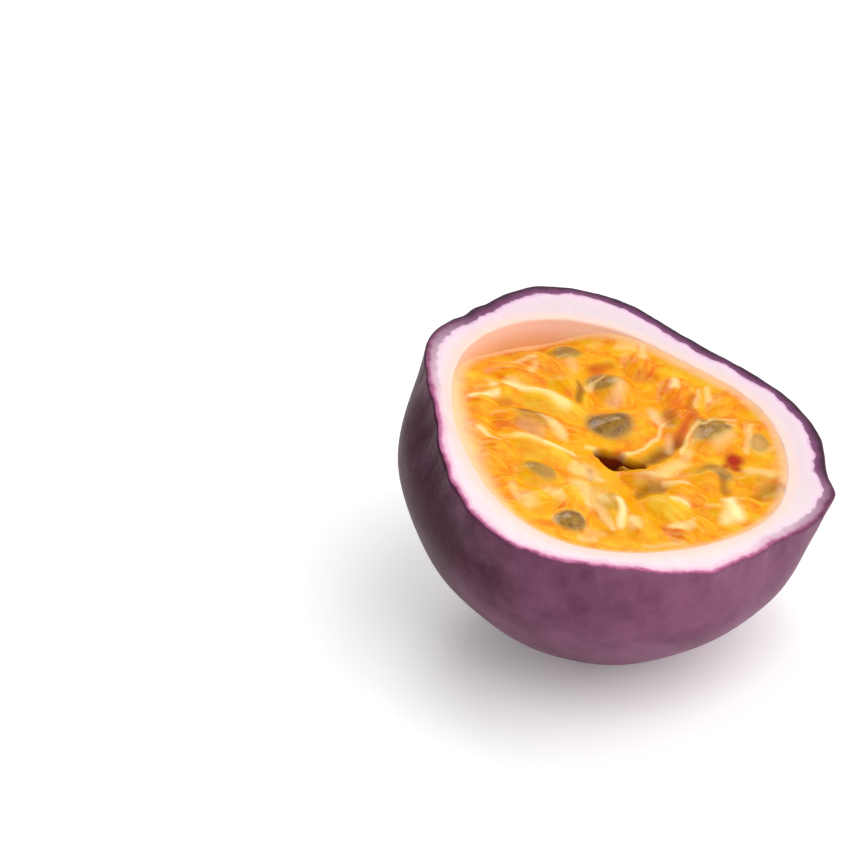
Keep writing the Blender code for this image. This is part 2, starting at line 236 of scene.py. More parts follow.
def size_prop(name, description, millimetres):
    return FloatProperty(
        name=name, description=description, default=millimetres * MM,
        unit="LENGTH", min=0.0, precision=5,
    )


def share_prop(name, description, share):
    return FloatProperty(
        name=name, description=description, default=share, subtype="FACTOR", min=0.0, max=1.0,
    )


class RindSettings(bpy.types.PropertyGroup):
    """Sizes and colours of the rind."""

    pucker: size_prop("Pucker", "Depth of the wrinkles that run down from the cut edge", 0.16)
    cut_relief: size_prop("Cut relief", "Height of the unevenness of the cut pith", 0.14)
    skin: colour_prop("Skin", "Main colour of the skin", "#7E4B67")
    skin_dark: colour_prop("Dark skin", "Darker patches of the skin", "#401028")
    skin_pale: colour_prop("Pale skin", "Pale specks and bloom on the skin", "#9A6A88")
    band: colour_prop("Band", "Flesh inside the skin on the far side", "#5A2A4C")
    near_band: colour_prop("Near band", "Flesh inside the skin on the near side", "#A04C78")
    pith: colour_prop("Pith", "Thick white pith", "#E0CCD2")
    cream: colour_prop("Cream", "Pith beside the hollow", "#F0CFC2")
    lining: colour_prop("Lining", "Lining of the hollow above the pulp", "#FAD2C2")
    # Painted shade low on the hollow's wall, tinted orange as painted bounce light from the pulp
    lining_painted_shade: colour_prop("Deep lining", "Lining beside the pulp, wet with juice", "#E4AC70")


class PulpSettings(bpy.types.PropertyGroup):
    """Sizes and colours of the pulp."""

    crease: size_prop("Crease", "How softly neighbouring sacs run together", 0.3)
    wrinkle: size_prop("Wrinkle", "Height of the strands along a sac", 0.10)
    meniscus: size_prop("Meniscus", "How far the juice climbs the rind", 0.35)
    clear_depth: size_prop("Clear depth", "Thickness of the clear jelly over the bed", 1.5)
    bed: colour_prop("Bed", "Cloudy pulp under the clear jelly", "#FFE2A0")
    bed_shade: colour_prop("Bed shade", "Darker clouds in the bed", "#FFC65E")
    clearness: share_prop("Clearness", "Share of the light that passes into the jelly", 0.15)
    pale: colour_prop("Pale", "Palest sacs and strands", "#FAC834")
    yellow: colour_prop("Yellow", "Yellow sacs", "#F8B200")
    orange: colour_prop("Orange", "Orange sacs", "#FAA000")
    # Deep orange is the deepest sacs' own tone and also the painted shade in their creases
    deep: colour_prop("Deep", "Deepest orange, in the creases", "#F07C00")
    seed_jelly: colour_prop("Seed jelly", "Clear jelly over a seed", "#FFCC58")
    # Membrane colour, also used for painted wet highlights
    membrane: colour_prop("Membrane", "Scraps of pale membrane and wet glints", "#FFE2A2")
    edge: colour_prop("Edge", "Peach membrane where the pulp meets the rind", "#FFCCA6")
    # Pink is a tint in the jelly and also the colour of two painted highlights
    pink: colour_prop("Pink", "Pinkish clouds in the jelly", "#EEBE88")
    # Brown is painted shade in the deepest creases and under the sacs' rims
    brown: colour_prop("Brown", "Brown shade in the deepest creases", "#8E5206")
    red: colour_prop("Red", "Red stains of the flesh between the sacs", "#B42600")
    # The heart's dark maroon is painted shade in the gap
    heart: colour_prop("Heart", "Gap at the fruit's heart", "#7A2A0C")


class SeedSettings(bpy.types.PropertyGroup):
    """Sizes and colours of the seeds."""

    thickness: size_prop("Thickness", "Thickness of a seed", 2.4)
    pit: size_prop("Pit", "Depth of the pits in a seed", 0.12)
    hull: colour_prop("Hull", "Main colour of a seed", "#AC965C")
    pit_colour: colour_prop("Pits", "Colour in a seed's pits", "#5A4418")
    bloom: colour_prop("Bloom", "Greyish film on a seed", "#B4B08E")


class StageSettings(bpy.types.PropertyGroup):
    """Floor and light."""

    floor: colour_prop("Floor", "Colour of the floor", "#FFFFFF")
    key_power: FloatProperty(name="Key", description="Main light", default=3.62, unit="POWER")
    glint_power: FloatProperty(
        name="Glint", description="Small light for the wet highlights", default=1.2, unit="POWER",
    )
    sky: FloatProperty(name="Sky", description="Light from all round", default=0.64, min=0.0)
    glow: share_prop("Glow", "Light that the lit table itself gives", 0.15)


def rounded_outline(corners, rounding):
    """Radius at each whole degree round the cut, with its corners rounded over some degrees."""
    degrees, radii = zip(*corners)
    table = np.interp(np.arange(360), degrees, radii, period=360)
    reach = np.arange(math.ceil(-3 * rounding), math.floor(3 * rounding) + 1)
    weights = np.exp(-0.5 * (reach / rounding) ** 2)
    return sum(w * np.roll(table, r) for w, r in zip(weights, reach)) / weights.sum()


def radius_at(outline, angles):
    return np.interp(np.degrees(angles), np.arange(360), outline, period=360)


def fade(distance, reach):
    """1 at no distance, falling smoothly to 0 at the reach."""
    share = np.clip(distance / reach, 0.0, 1.0)
    return 1.0 - share * share * (3.0 - 2.0 * share)


def between(start, end, count, power=1.0):
    """Evenly spaced numbers, or ones that crowd towards the start for a power over 1."""
    return [start + (end - start) * (i / (count - 1)) ** power for i in range(count)]


def noise_at(points, size):
    """Soft noise of about -1 to 1, whose lumps have that size, at each point."""
    return np.array([noise(Vector(p)) for p in np.asarray(points) / size])


def rim_ripple():
    """Small waves of the cut edge, as a distance out at each whole degree."""
    angles = np.radians(np.arange(360))
    circle = FRUIT_RADIUS * np.stack([np.cos(angles), np.sin(angles), np.zeros(360)], axis=-1)
    return RIM_RIPPLE * noise_at(circle, RIM_RIPPLE_SIZE)


RIM = rounded_outline(RIM_CORNERS, RIM_ROUNDING) + rim_ripple()
RIM_BROAD = rounded_outline(RIM_CORNERS, RIM_BROAD_ROUNDING)
CAVITY = rounded_outline(CAVITY_CORNERS, CAVITY_ROUNDING)


def face_points(angles, radii, depths):
    """Points on or below the cut face, from angles round it, distances out and depths."""
    x, y = radii * np.cos(angles), radii * np.sin(angles)
    return np.stack([x, y, np.broadcast_to(-depths, x.shape)], axis=-1)


def face_to_world():
    """Matrix from the cut face's millimetres to the frame's metres."""
    rest_height = math.sqrt(FRUIT_RADIUS ** 2 - REST_SPOT_RADIUS ** 2)
    forward = Matrix.Rotation(math.radians(LEAN_FORWARD), 4, "X")
    right = Matrix.Rotation(math.radians(LEAN_RIGHT), 4, "Y")
    middle = Matrix.Translation((0, 0, rest_height))
    face = Matrix.Translation((0, 0, CUT_ABOVE_MIDDLE))
    return Matrix.Scale(MM, 4) @ middle @ right @ forward @ face


def add_object(name, data):
    """New object in the scene."""
    obj = bpy.data.objects.new(name, data)
    bpy.context.scene.collection.objects.link(obj)
    return obj


def add_mesh(name, bm, materials):
    """New object in the scene, from a finished mesh and its materials."""
    mesh = bpy.data.meshes.new(name)
    bm.to_mesh(mesh)
    bm.free()
    for material in materials:
        mesh.materials.append(material)
    return add_object(name, mesh)


def add_piece(name, bm, materials, node):
    """Object from a mesh on the cut face, placed in the frame, smooth, in a CAD node's place."""
    bmesh.ops.transform(bm, verts=bm.verts, matrix=face_to_world())
    bmesh.ops.recalc_face_normals(bm, faces=bm.faces)
    for face in bm.faces:
        face.smooth = True
    obj = add_mesh(name, bm, materials)
    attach(obj, "root")
    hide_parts(node)


def fill_inputs(tree, node, inputs):
    """Gives a node's inputs their values, or the other nodes' outputs that feed them."""
    for name, value in inputs.items():
        if isinstance(value, bpy.types.NodeSocket):
            tree.links.new(value, node.inputs[name])
        else:
            node.inputs[name].default_value = value


def add_node(tree, kind, inputs=None, output=0, stops=(), **settings):
    """One output of a new node, the first or a named one, with its settings, inputs and stops."""
    made = tree.nodes.new("ShaderNode" + kind)
    for name, value in settings.items():
        setattr(made, name, value)
    fill_inputs(tree, made, inputs or {})
    if stops:
        elements = made.color_ramp.elements
        while len(elements) < len(stops):
            elements.new(0.5)
        for element, (place, colour) in zip(elements, stops):
            element.position = place
            element.color = (*colour, 1.0)
    return made.outputs[output]


def new_material(name):
    """New material, its node tree and its Principled shader."""
    material = bpy.data.materials.new(name)
    material.use_nodes = True
    tree = material.node_tree
    return material, tree, tree.nodes["Principled BSDF"]


def grey(value):
    return (value, value, value)


def grow_rim(bm, edges):
    """Extrudes the open rim of a mesh once, and gives the new points and the new rim."""
    made = bmesh.ops.extrude_edge_only(bm, edges=edges)["geom"]
    verts = [g for g in made if isinstance(g, bmesh.types.BMVert)]
    return verts, [g for g in made if isinstance(g, bmesh.types.BMEdge) and g.is_boundary]


def close_rim(bm, edges):
    """Draws the open rim of a mesh together to a point."""
    verts, _ = grow_rim(bm, edges)
    bmesh.ops.pointmerge(bm, verts=verts, merge_co=middle_of(verts))


def middle_of(verts):
    return sum((v.co for v in verts), Vector()) / len(verts)


# Rind

RIND_SEGMENTS = 480
SKIN_RINGS = 64
EDGE_RINGS = 4
CUT_RINGS = 26
LIP_RINGS = 3
WALL_RINGS = 24
POLE_SHARE = 0.02
SKIN_THICKNESS = 0.18
NEAR_SHARPNESS = 1.2
NEAR_TURN = 20.0
PUCKER_REACH = 6.0
PUCKER_WIDTH = 1.6
PUCKER_LENGTH = 9.0
SKIN_CROWDING = 1.4
CUT_CROWDING = 1.3
WALL_CROWDING = 1.5
CUT_RELIEF_SIZE = 2.6
CUT_SINK = 0.5
NICK_SIZE = 1.1
NICK_SHARE = 0.5
OTHER_NOISE = 50.0


def skin_ring(angles, latitude, pucker):
    """Skin at an angle below the fruit's middle, with wrinkles that run down from the cut."""
    depth = CUT_ABOVE_MIDDLE + FRUIT_RADIUS * math.sin(latitude)
    broad = radius_at(RIM_BROAD, angles)
    corners = (radius_at(RIM, angles) - broad) * fade(depth, CORNER_FADE_DEPTH)
    leaning_in = (broad - FRUIT_RADIUS) * fade(depth, BROAD_FADE_DEPTH)
    radii = FRUIT_RADIUS * math.cos(latitude) * (1.0 + (leaning_in + corners) / FRUIT_RADIUS)
    points = face_points(angles, radii, depth)
    points[:, 0] += BODY_SHIFT * (1.0 - fade(depth, BROAD_FADE_DEPTH))
    dent = noise_at(points, SKIN_DENT_SIZE) * (1.0 - fade(depth, CORNER_FADE_DEPTH))
    points *= (1.0 + SKIN_DENT_DEPTH * dent / FRUIT_RADIUS)[:, None]
    wrinkles = noise_at(points / (1.0, 1.0, PUCKER_LENGTH / PUCKER_WIDTH), PUCKER_WIDTH)
    inwards = pucker * np.abs(wrinkles) * fade(depth, PUCKER_REACH)
    points *= (1.0 - inwards / FRUIT_RADIUS)[:, None]
    return points, np.full(len(angles), -depth), np.full(len(angles), -FRUIT_RADIUS)


def cut_ring(angles, from_skin, depths, relief):
    """Ring of the cut face, a distance in from the skin, with its unevenness."""
    rim = radius_at(RIM, angles)
    radii = rim - from_skin
    points = face_points(angles, radii, depths)
    nicks = noise_at(points + OTHER_NOISE, NICK_SIZE)
    lumps = noise_at(points, CUT_RELIEF_SIZE) + NICK_SHARE * nicks
    points[:, 2] -= relief * (CUT_SINK + lumps)
    return points, from_skin * np.ones(len(angles)), radius_at(CAVITY, angles) - radii


def wall_ring(angles, latitude):
    """Ring of the hollow's wall."""
    radii = radius_at(CAVITY, angles) * math.cos(latitude)
    depth = CAVITY_DEPTH * math.sin(latitude)
    from_skin = radius_at(RIM, angles) - radius_at(CAVITY, angles)
    return face_points(angles, radii, depth), from_skin, np.full(len(angles), depth)


def lip_ring(angles, turn, relief):
    """Ring of the rounded edge where the cut face turns down into the hollow."""
    radii = radius_at(CAVITY, angles) + CAVITY_LIP * (1.0 - math.sin(turn))
    depth = CAVITY_LIP * (1.0 - math.cos(turn))
    from_skin = radius_at(RIM, angles) - radii
    points, _, into_hollow = cut_ring(angles, from_skin, depth, relief * math.cos(turn))
    return points, from_skin, into_hollow + depth


def rind_rings(pucker, relief):
    """Rules for the rings of the rind, from under the skin over the cut to under the hollow."""
    pole = math.radians(90) * (1.0 - POLE_SHARE)
    cut = -math.asin((CUT_ABOVE_MIDDLE - EDGE_ROUND) / FRUIT_RADIUS)
    lip = math.asin(CAVITY_LIP / CAVITY_DEPTH)
    rings = []
    for latitude in reversed(between(cut, pole, SKIN_RINGS, SKIN_CROWDING)):
        rings.append(lambda a, t=latitude: skin_ring(a, t, pucker))
    for turn in between(0.0, math.radians(90), EDGE_RINGS)[1:]:
        inset = EDGE_ROUND * (1.0 - math.cos(turn))
        depth = EDGE_ROUND * (1.0 - math.sin(turn))
        share = relief * math.sin(turn)
        rings.append(lambda a, i=inset, d=depth, r=share: cut_ring(a, i, d, r))
    for share in between(0.0, 1.0, CUT_RINGS, CUT_CROWDING)[1:]:
        rings.append(lambda a, s=share: cut_ring(a, cut_distance(a, s), 0.0, relief))
    for turn in between(0.0, math.radians(90), LIP_RINGS + 1)[1:-1]:
        rings.append(lambda a, t=turn: lip_ring(a, t, relief))
    for latitude in between(lip, pole, WALL_RINGS, WALL_CROWDING):
        rings.append(lambda a, t=latitude: wall_ring(a, t))
    return rings


def cut_distance(angles, share):
    """Distance in from the skin, at a share of the way over the cut face to the hollow's lip."""
    width = radius_at(RIM, angles) - radius_at(CAVITY, angles) - CAVITY_LIP
    return EDGE_ROUND + (width - EDGE_ROUND) * share


def turned_surface(rings, segments):
    """Closed mesh through rings that follow rules, drawn together to a point at both ends."""
    bm = bmesh.new()
    layers = [bm.verts.layers.float.new(name) for name in ("from_skin", "into_hollow", "near")]
    around = bm.verts.layers.float.new("around")
    bmesh.ops.create_circle(bm, segments=segments, radius=1.0, cap_ends=True, cap_tris=True)
    verts = [v for v in bm.verts if v.is_boundary]
    centre = next(v for v in bm.verts if not v.is_boundary)
    for vert in verts:
        vert[around] = math.atan2(vert.co.y, vert.co.x)
    place_ring(verts, around, layers, rings[0])
    centre.co = middle_of(verts)
    for layer in layers:
        centre[layer] = verts[0][layer]
    edges = [e for e in bm.edges if e.is_boundary]
    for ring in rings[1:]:
        verts, edges = grow_rim(bm, edges)
        place_ring(verts, around, layers, ring)
    close_rim(bm, edges)
    return bm


def place_ring(verts, around, layers, ring):
    """Moves each point of a ring to where the ring's rule puts its own angle round the face."""
    points, from_skin, into_hollow = ring(np.array([v[around] for v in verts]))
    for vert, point, distance, depth in zip(verts, points, from_skin, into_hollow):
        vert.co = point
        vert[layers[0]] = distance
        vert[layers[1]] = depth
        vert[layers[2]] = nearness(vert[around])


def nearness(angle):
    """0 on the far side of the cut and 1 on the near side, which is cut more cleanly."""
    return min(max(0.5 - NEAR_SHARPNESS * math.sin(angle + math.radians(NEAR_TURN)), 0.0), 1.0)


def cut_rest_spot(bm):
    """Flat spot under the fruit, on the frame's floor."""
    geometry = bm.verts[:] + bm.edges[:] + bm.faces[:]
    floor = face_to_world().inverted() @ Vector((0, 0, 0))
    down = face_to_world().inverted().to_3x3() @ Vector((0, 0, -1))
    cut = bmesh.ops.bisect_plane(bm, geom=geometry, plane_co=floor, plane_no=down, clear_outer=True)
    edges = [g for g in cut["geom_cut"] if isinstance(g, bmesh.types.BMEdge)]
    bmesh.ops.holes_fill(bm, edges=edges)


NOISE_SPAN = {"From Min": 0.3, "From Max": 0.7}
SKIN_MOTTLE_SIZE = 9.0
SKIN_BLOTCH_SIZE = 2.0
SKIN_BLOTCH_SHARE = 0.35
SKIN_SPECK_SIZE = 0.6
SKIN_PORE_SIZE = 0.35
# Painted shade and light on the skin: darker towards its left, a little lighter towards its right
PAINTED_SHADE_SIDE_FROM = -26.0
PAINTED_SHADE_SIDE_TO = -2.0
PAINTED_SHADE_SIDE = -0.38
PAINTED_LIGHT_SIDE = 0.1


def skin_material(settings):
    """Skin of a ripe purple passion fruit, smooth and waxy, grown.

    It is satin, mottled from wine to mauve, with faint pale specks, with painted shade darkening
    its left and painted light lightening its right.
    """
    material, tree, shader = new_material("passion_fruit_skin_waxy")
    place = add_node(tree, "TexCoord", output="Object")
    mottle, blotches, specks, pores = (
        add_node(tree, "TexNoise", {"Vector": place, "Scale": 1.0 / (size * MM), "Detail": detail})
        for size, detail in ((SKIN_MOTTLE_SIZE, 4.0), (SKIN_BLOTCH_SIZE, 3.0),
                             (SKIN_SPECK_SIZE, 2.0), (SKIN_PORE_SIZE, 2.0))
    )
    along = add_node(tree, "SeparateXYZ", {"Vector": place})
    # Painted shade over the left of the skin and painted light over its right, along its x
    painted_shade_and_light = add_node(tree, "MapRange", {
        "Value": along, "From Min": PAINTED_SHADE_SIDE_FROM * MM, "From Max": PAINTED_SHADE_SIDE_TO * MM,
        "To Min": PAINTED_SHADE_SIDE, "To Max": PAINTED_LIGHT_SIDE,
    }, interpolation_type="SMOOTHSTEP")
    shade = add_node(tree, "Math", {
        0: blotches, 1: SKIN_BLOTCH_SHARE, 2: mottle,
    }, operation="MULTIPLY_ADD")
    shade = add_node(tree, "Math", {0: shade, 1: painted_shade_and_light}, operation="ADD")
    base = add_node(tree, "ValToRGB", {"Fac": shade}, stops=(
        (0.28, settings.skin_dark), (0.90, settings.skin),
    ))
    speck_share = add_node(tree, "ValToRGB", {"Fac": specks}, stops=(
        (0.50, grey(0.0)), (0.80, grey(0.10)),
    ))
    colour = add_node(tree, "Mix", {
        "Factor": speck_share, "A": base, "B": (*settings.skin_pale, 1.0),
    }, "Result", data_type="RGBA")
    bump = add_node(tree, "Bump", {"Height": pores, "Strength": 0.25, "Distance": 0.12 * MM})
    fill_inputs(tree, shader, {
        "Base Color": colour, "Normal": bump,
        "Roughness": 0.45, "Specular IOR Level": 0.12,
    })
    return material


# Cut flesh from the skin inwards: millimetres that its bands span, and how raggedly they run
BAND_SPAN = 4.0
BAND_WANDER_SIZE = 3.2
BAND_WANDER = 0.1
TEAR_SIZE = 1.1
TEAR_REACH = 0.16
SPONGE_SIZE = 0.45
# Millimetres into the hollow over which its colours come in
CREAM_SPAN = (-1.8, -0.4)
LINING_SPAN = (-0.4, 0.8)
# Span of the painted shade low on the hollow's wall
SHADED_LINING_SPAN = (1.4, 4.6)
# Colours of the bands on the far side of the cut and on the near one
FAR_EDGE, FAR_MAUVE, FAR_PINK, FAR_PALE = "#34142A", "#7C456E", "#DDB4CE", "#E6CCDA"
NEAR_MAUVE, NEAR_PINK, NEAR_PALE, NEAR_PITH = "#C0709A", "#E6B8CC", "#EDD6DE", "#EADAD6"


def flesh_material(settings):
    """Cut flesh of the rind: spongy white pith, with a torn purple band under the skin.

    It is nearly matt and a little see-through, turns cream beside the hollow and salmon inside it,
    and painted shade turns it darker orange low on the hollow's wall.
    """
    material, tree, shader = new_material("passion_fruit_pith_cut")
    place = add_node(tree, "TexCoord", output="Object")
    ragged, torn, sponge = (
        add_node(tree, "TexNoise", {"Vector": place, "Scale": 1.0 / (size * MM), "Detail": detail})
        for size, detail in ((BAND_WANDER_SIZE, 1.5), (TEAR_SIZE, 2.0), (SPONGE_SIZE, 3.0))
    )
    from_skin, near, into_hollow = (
        add_node(tree, "Attribute", output="Fac", attribute_name=name)
        for name in ("from_skin", "near", "into_hollow")
    )
    wander, torn_reach = (
        add_node(tree, "MapRange", {
            **NOISE_SPAN, "Value": pattern, "To Min": middle - reach, "To Max": middle + reach,
        })
        for pattern, middle, reach in ((ragged, 1.0, BAND_WANDER), (torn, 0.0, TEAR_REACH))
    )
    distance = add_node(tree, "Math", {0: from_skin, 1: wander, 2: torn_reach},
                        operation="MULTIPLY_ADD")
    share = add_node(tree, "Math", {0: distance, 1: BAND_SPAN}, operation="DIVIDE")
    far_band = add_node(tree, "ValToRGB", {"Fac": share}, stops=(
        (0.12, linear(FAR_EDGE)), (0.22, settings.band), (0.40, linear(FAR_MAUVE)),
        (0.46, linear(FAR_PINK)), (0.57, linear(FAR_PALE)), (0.85, settings.pith),
    ))
    near_band = add_node(tree, "ValToRGB", {"Fac": share}, stops=(
        (0.02, settings.skin_dark), (0.08, settings.near_band), (0.15, linear(NEAR_MAUVE)),
        (0.23, linear(NEAR_PINK)), (0.40, linear(NEAR_PALE)), (0.85, linear(NEAR_PITH)),
    ))
    colour = add_node(tree, "Mix", {
        "Factor": near, "A": far_band, "B": near_band,
    }, "Result", data_type="RGBA")
    for (start, end), shade in ((CREAM_SPAN, settings.cream), (LINING_SPAN, settings.lining),
                                (SHADED_LINING_SPAN, settings.lining_painted_shade)):
        share = add_node(tree, "MapRange", {
            "Value": into_hollow, "From Min": start, "From Max": end,
        })
        colour = add_node(tree, "Mix", {
            "Factor": share, "A": colour, "B": (*shade, 1.0),
        }, "Result", data_type="RGBA")
    bump = add_node(tree, "Bump", {"Height": sponge, "Strength": 0.3, "Distance": 0.1 * MM})
    fill_inputs(tree, shader, {
        "Base Color": colour, "Normal": bump, "Roughness": 0.5,
        "Specular IOR Level": 0.25, "Subsurface Weight": 0.12,
        "Subsurface Radius": (1.0, 0.5, 0.4), "Subsurface Scale": 1.2 * MM,
    })
    return material


class FRUIT_OT_rind(bpy.types.Operator):
    """Make the thick rind, with its skin, cut pith and the lining of its hollow"""

    bl_idname = "fruit.rind"
    bl_label = "Rind"

    def execute(self, context):
        settings = context.scene.fruit_rind
        pucker = settings.pucker / MM
        relief = settings.cut_relief / MM
        bm = turned_surface(rind_rings(pucker, relief), RIND_SEGMENTS)
        from_skin = bm.verts.layers.float["from_skin"]
        for face in bm.faces:
            inner = sum(v[from_skin] for v in face.verts) / len(face.verts)
            face.material_index = 0 if inner < SKIN_THICKNESS else 1
        cut_rest_spot(bm)
        materials = [skin_material(settings), flesh_material(settings)]
        add_piece("rind", bm, materials, "shell")
        return {"FINISHED"}


# Pulp

SAC_SEGMENTS = 280
BED_SEGMENTS = 120
SIDE_RINGS = 5
SKIRT_DROP = 0.4
INTO_WALL = 0.15
BED_INSET = 0.5
HEART_JELLY_LOSS = 0.8
LEVEL_POWER = 4
SUNK_POWER = 6
MENISCUS_REACH = 0.7
MEMBRANE_REACH = 1.3
MEMBRANE_REACH_LEFT = 4.0
MEMBRANE_TOWARDS = 195.0
MEMBRANE_SPREAD = 25.0
MEMBRANE_FRAY = 0.3
MEMBRANE_SHARE = 0.75
MEMBRANE_SHARE_LEFT = 0.15
STRAND_LENGTH = 3.5
STRAND_WIDTH = 0.8
FINE_WRINKLE_SIZE = 0.7
FINE_WRINKLE_SHARE = 0.4
SAC_FALL = -3.0
FLOW_STEP = 7.0
JUICE_TONE = 0.5
JUICE_FLOW = 0.4
CREASE_REACH = 0.45
WARP = 0.5
WARP_SIZE = 2.4
OTHER_WARP = 40.0
PALE_RISE = 0.06
BROWN_DIP = 0.55
WINDOW_FULL = 0.65
WINDOW_EDGE = 0.55


def off_heading(angles, heading):
    """Degrees from a heading to each angle round the face, between -180 and 180."""
    return (np.degrees(angles) - heading + 180) % 360 - 180


def sunk(angles):
    """How far the pulp lies lower on the one side where the rind's lining shows."""
    away = off_heading(angles, SUNK_TOWARDS)
    spread = np.where(away > 0, SUNK_SPREAD_LEFT, SUNK_SPREAD_RIGHT)
    return SUNK_LEVEL * np.exp(-0.5 * (away / spread) ** 2)


def pulp_level(x, y, edge, middle):
    """Depth of a surface of the pulp that has one level at the rind and one in the middle."""
    angles = np.arctan2(y, x)
    share = np.hypot(x, y) / radius_at(CAVITY, angles)
    return middle + (edge - middle) * share ** LEVEL_POWER + sunk(angles) * share ** SUNK_POWER


def cavity_radius(angles, depths):
    return radius_at(CAVITY, angles) * np.sqrt(1.0 - np.minimum(depths / CAVITY_DEPTH, 1.0) ** 2)


def edge_level(angles):
    """Depth at which the pulp meets the rind's wall."""
    depths = EDGE_LEVEL + sunk(angles)
    for _ in range(3):
        radii = cavity_radius(angles, depths)
        x, y = radii * np.cos(angles), radii * np.sin(angles)
        depths = pulp_level(x, y, EDGE_LEVEL, MIDDLE_LEVEL)
    return depths


def image_ray(pixel):
    """Direction from the camera through a pixel of the image."""
    tilt = math.radians(VIEW_ELEVATION)
    right = Vector((1, 0, 0))
    up = Vector((0, math.sin(tilt), math.cos(tilt)))
    back = Vector((0, -math.cos(tilt), math.sin(tilt)))
    focal = PIXELS_PER_MM * VIEW_DISTANCE / MM
    half = IMAGE_SIZE / 2
    return (right * (pixel[0] - half) / focal - up * (pixel[1] - half) / focal - back).normalized()


def camera_place():
    return face_to_world() @ Vector((0, 0, 0)) - image_ray(FACE_PIXEL) * VIEW_DISTANCE


def face_place(pixel, depth):
    """Place on the pulp, at a depth below the cut face, that shows at a pixel of the image."""
    to_face = face_to_world().inverted()
    start = to_face @ camera_place()
    ray = to_face.to_3x3() @ image_ray(pixel)
    return (start + ray * ((-depth - start.z) / ray.z)).xy


def own_places(x, y, middle_x, middle_y, heading):
    """Places along and across a thing on the face that lies at a heading, in degrees."""
    turn = math.radians(heading)
    along = (x - middle_x) * math.cos(turn) + (y - middle_y) * math.sin(turn)
    across = (y - middle_y) * math.cos(turn) - (x - middle_x) * math.sin(turn)
    return along, across


def stroke_shares(x, y, strokes, depth, softness):
    """How strongly strokes mark each place: full along their middle, soft at their edge."""
    marked = np.zeros_like(x)
    for *ends, width, strength in strokes:
        start, end = face_place(ends[:2], depth), face_place(ends[2:], depth)
        run = end - start
        along = ((x - start.x) * run.x + (y - start.y) * run.y) / run.length_squared
        along = np.clip(along, 0.0, 1.0)
        away = np.hypot(x - start.x - along * run.x, y - start.y - along * run.y)
        past_middle = away - (1.0 - softness) * width / 2
        marked = np.maximum(marked, strength * fade(past_middle, softness * width))
    return marked


def sac_heights(x, y):
    """Height of every sac at each place, its own lengthwise and crosswise places, and its tone.

    A sac is a lying drop, broad at its seed end. Outside its outline its height falls steeply.
    """
    heights, flows, tones = [], [], []
    for number, (sac_x, sac_y, heading, length, width, tone) in enumerate(SACS):
        along, across = own_places(x, y, sac_x, sac_y, heading)
        towards_tip = np.clip(along / length + 0.5, 0.0, 1.0)
        taper = 1.0 - (1.0 - SAC_TIP_SHARE) * towards_tip ** 2
        full_width = width * SAC_PLUMPNESS * taper
        inside = 1.0 - (2 * along / length) ** 2 - (2 * across / full_width) ** 2
        inside = np.maximum(inside, SAC_FALL)
        half_height = width * SAC_HEIGHT_SHARE / 2
        level = pulp_level(sac_x, sac_y, SAC_EDGE_LEVEL, SAC_TOP_LEVEL)
        heights.append(half_height * (taper * inside - 1.0) - level)
        flows.append(np.stack([along, across, np.full_like(along, FLOW_STEP * number)], axis=-1))
        tones.append(np.full_like(along, tone))
    return heights, flows, tones


def pulp_surface(x, y, crease):
    """Height of the pulp's top at each place, and what its colours follow there.

    The highest sac or the juice wins, and two of near height run together in a soft crease.
    """
    heights, flows, tones = sac_heights(x, y)
    heights.append(-pulp_level(x, y, EDGE_LEVEL, MIDDLE_LEVEL))
    flows.append(np.stack([x, JUICE_FLOW * y, np.full_like(x, -FLOW_STEP)], axis=-1))
    tones.append(np.full_like(x, JUICE_TONE))
    heights = np.array(heights)
    order = np.argsort(-heights, axis=0)
    highest, second = (np.take_along_axis(heights, order[i:i + 1], axis=0)[0] for i in (0, 1))
    weights = np.exp((heights - highest) / crease)
    warp_x, warp_y = (WARP * noise_at(np.stack([x, y, np.full_like(x, z)], axis=-1), WARP_SIZE)
                      for z in (0.0, OTHER_WARP))
    marks = {name: stroke_shares(x + tear * warp_x, y + tear * warp_y, strokes, depth, softness)
             for name, (strokes, depth, softness, tear) in STROKE_KINDS.items()}
    marks |= {
        "window": seed_windows(x, y),
        "tone": (weights * np.array(tones)).sum(axis=0) / weights.sum(axis=0),
        "crease": np.exp((second - highest) / CREASE_REACH),
    }
    top = highest + crease * np.log(weights.sum(axis=0))
    top += PALE_RISE * marks["pale"] - BROWN_DIP * marks["brown"] - HEART_DEPTH * marks["heart"]
    flow = np.array(flows)[order[0], np.arange(len(x))]
    return top, flow, marks


def seed_windows(x, y):
    """How clear the jelly is at each place, for the seeds under it to show."""
    clear = np.zeros_like(x)
    for seed_x, seed_y, heading, length, width, _, clearness in SEEDS:
        along, across = own_places(x, y, seed_x, seed_y, heading)
        out = np.hypot(2 * along / length, 2 * across / width)
        clear = np.maximum(clear, clearness * fade(out - WINDOW_FULL, WINDOW_EDGE))
    return clear


def disc_place(u, v):
    """Angle and distance out, on the unit disc, for each place on a square of half side 1."""
    wide = np.abs(u) > np.abs(v)
    distance = np.where(wide, u, v)
    safe = np.where(distance == 0, 1.0, distance)
    angle = np.where(wide, math.pi / 4 * v / safe, math.pi / 2 - math.pi / 4 * u / safe)
    angle = np.where(distance < 0, angle + math.pi, angle)
    return np.arctan2(np.sin(angle), np.cos(angle)), np.abs(distance)


